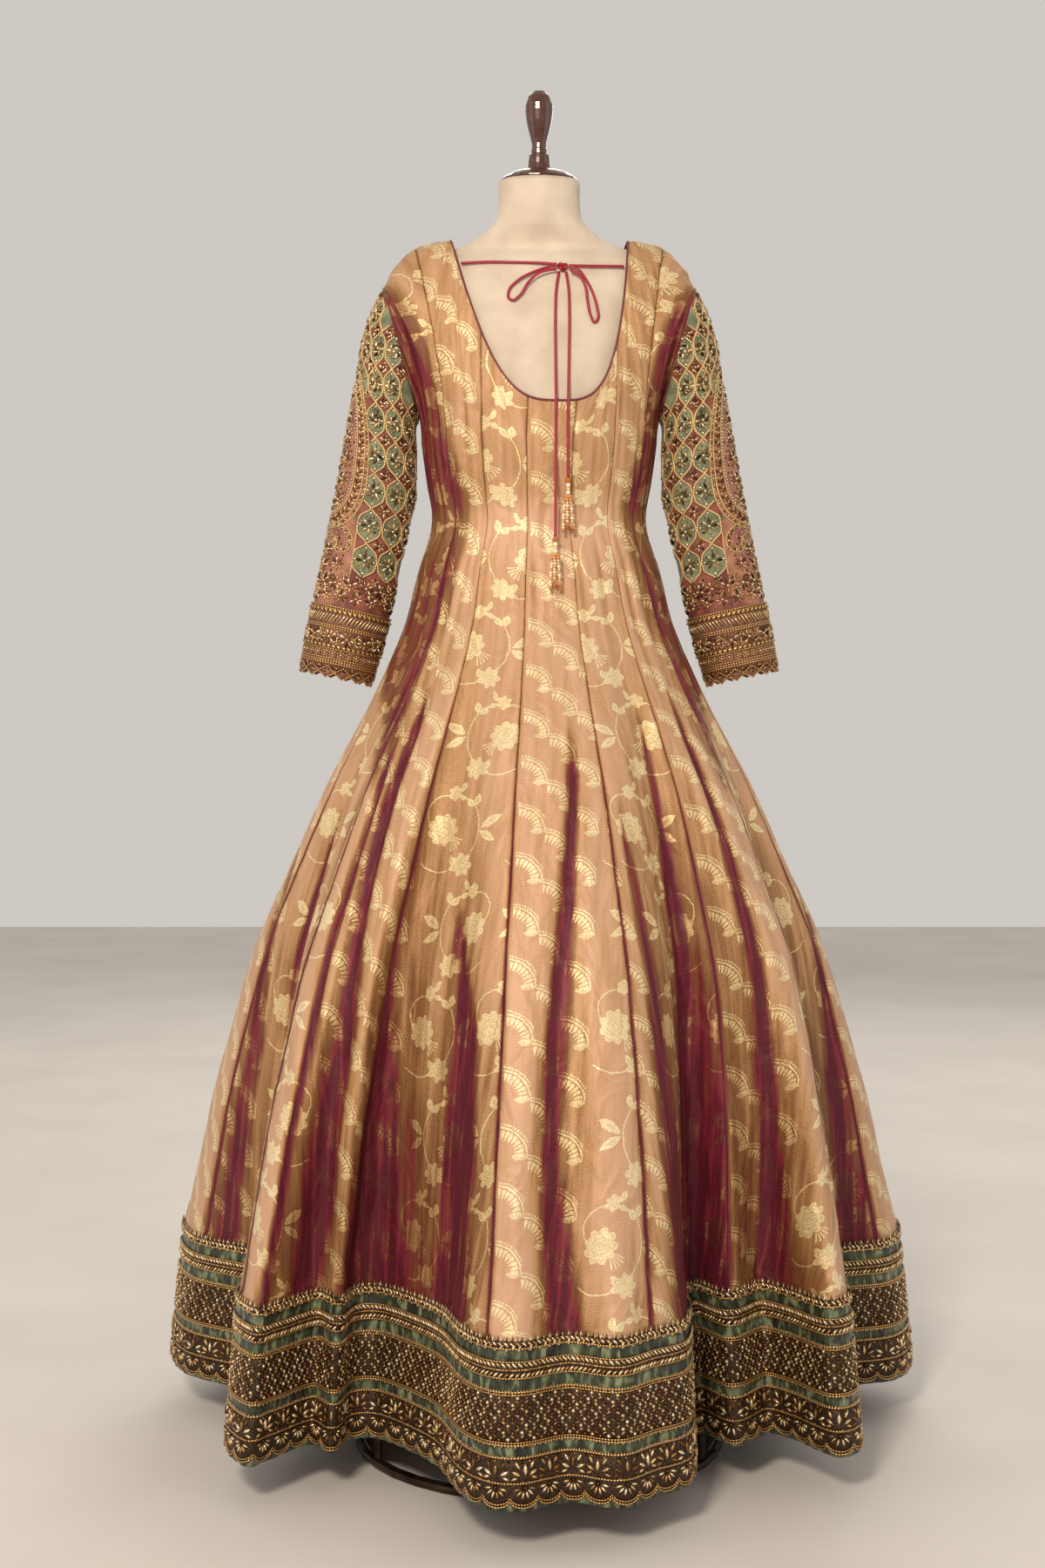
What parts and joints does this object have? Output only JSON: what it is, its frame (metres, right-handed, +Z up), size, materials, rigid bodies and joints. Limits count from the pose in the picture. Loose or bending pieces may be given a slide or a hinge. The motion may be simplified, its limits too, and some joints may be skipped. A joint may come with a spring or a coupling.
{
  "type": "anarkali gown on dress form",
  "caption": "Floor-length anarkali gown of long brocade kalis with embroidered sleeves, a trimmed green hem border and a tied back dori, worn by a padded dress form on a ring-footed stand.",
  "frame": {"origin": "on the floor under the axis of the dress form's neck", "axes": "+Z up, the gown's back with its deep scoop faces -Y, +X towards the right of someone looking at the back"},
  "size_m": [0.9819, 0.9536, 1.695],
  "materials": {
    "gold_brocade": "two-tone silk tissue brocade, satin sheen",
    "green_silk": "crinkled silk, satin",
    "zari_trim": "antique gold metallic braid and lace",
    "sleeve_embroidery": "silk with cord and bead embroidery",
    "maroon_cord": "satin covered cord",
    "amber_beads": "polished beads",
    "beige_linen": "matt jersey over padding",
    "dark_wood": "dark gloss varnish",
    "dark_bronze": "dark bronze semi-gloss"
  },
  "bodies": {
    "root": {"kali_00": "gold_brocade", "kali_01": "gold_brocade", "kali_02": "gold_brocade", "kali_03": "gold_brocade", "kali_04": "gold_brocade", "kali_05": "gold_brocade", "kali_06": "gold_brocade", "kali_07": "gold_brocade", "kali_08": "gold_brocade", "kali_09": "gold_brocade", "kali_10": "gold_brocade", "kali_11": "gold_brocade", "kali_12": "gold_brocade", "kali_13": "gold_brocade", "kali_14": "gold_brocade", "kali_15": "gold_brocade", "hem_band": "green_silk", "lace_scallop": "zari_trim", "band_sequin": "zari_trim", "trim_leaf": "zari_trim", "trim_top": "zari_trim", "neck_piping": "maroon_cord", "sleeve_left": "sleeve_embroidery", "cuff_left": "zari_trim", "cuff_edge_left": "zari_trim", "dori_string_left": "maroon_cord", "dori_loop_left": "maroon_cord", "dori_tail_left": "maroon_cord", "tassel_left": "amber_beads", "sleeve_right": "sleeve_embroidery", "cuff_right": "zari_trim", "cuff_edge_right": "zari_trim", "dori_string_right": "maroon_cord", "dori_loop_right": "maroon_cord", "dori_tail_right": "maroon_cord", "tassel_right": "amber_beads", "dori_knot": "maroon_cord", "form_torso": "beige_linen", "neck_cap": "dark_wood", "finial": "dark_wood", "stand_pole": "dark_bronze", "stand_ring": "dark_bronze", "stand_leg_0": "dark_bronze", "stand_leg_1": "dark_bronze", "stand_leg_2": "dark_bronze", "stand_leg_3": "dark_bronze"}
  },
  "joints": []
}
